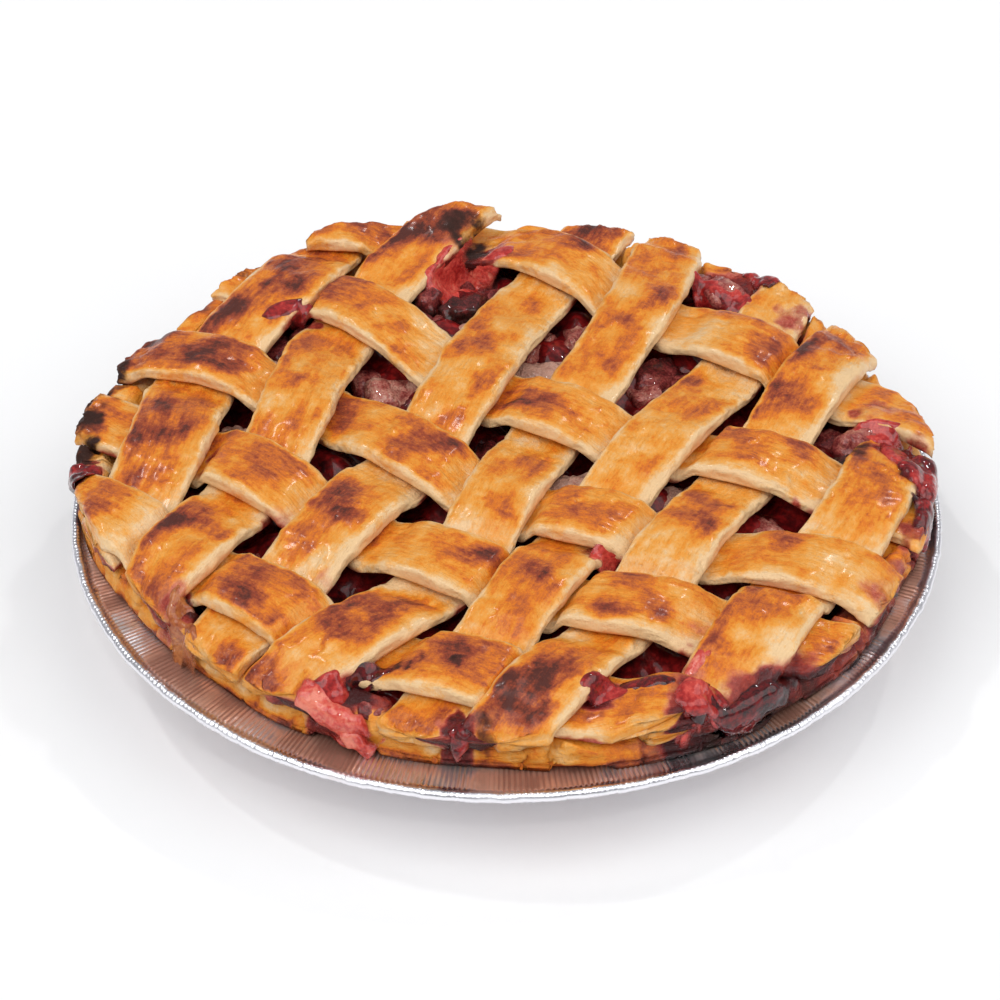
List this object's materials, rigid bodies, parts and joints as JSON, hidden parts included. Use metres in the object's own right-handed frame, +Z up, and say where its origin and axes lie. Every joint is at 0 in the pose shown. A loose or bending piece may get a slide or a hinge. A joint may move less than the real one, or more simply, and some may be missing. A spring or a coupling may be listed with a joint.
{
  "type": "strawberry rhubarb pie",
  "caption": "Whole fruit pie with a woven lattice top of glazed pastry strips, in the shallow foil tin that it was baked in.",
  "frame": {"origin": "middle of the tin's floor, on the surface that the pie stands on", "axes": "+Z up, -Y towards the front as seen in the picture, +X to the right"},
  "size_m": [0.229, 0.229, 0.0492],
  "materials": {
    "foil": "bright pressed foil",
    "baked_crust": "matt baked pastry",
    "glazed_pastry": "egg-washed baked pastry",
    "fruit_filling": "wet cooked fruit and jam"
  },
  "bodies": {
    "root": {"foil_tin": "foil", "pastry_case": "baked_crust", "filling": "fruit_filling", "lattice_a1": "glazed_pastry", "lattice_a2": "glazed_pastry", "lattice_a3": "glazed_pastry", "lattice_a4": "glazed_pastry", "lattice_a5": "glazed_pastry", "lattice_a6": "glazed_pastry", "lattice_a7": "glazed_pastry", "lattice_b1": "glazed_pastry", "lattice_b2": "glazed_pastry", "lattice_b3": "glazed_pastry", "lattice_b4": "glazed_pastry", "lattice_b5": "glazed_pastry"}
  },
  "joints": []
}
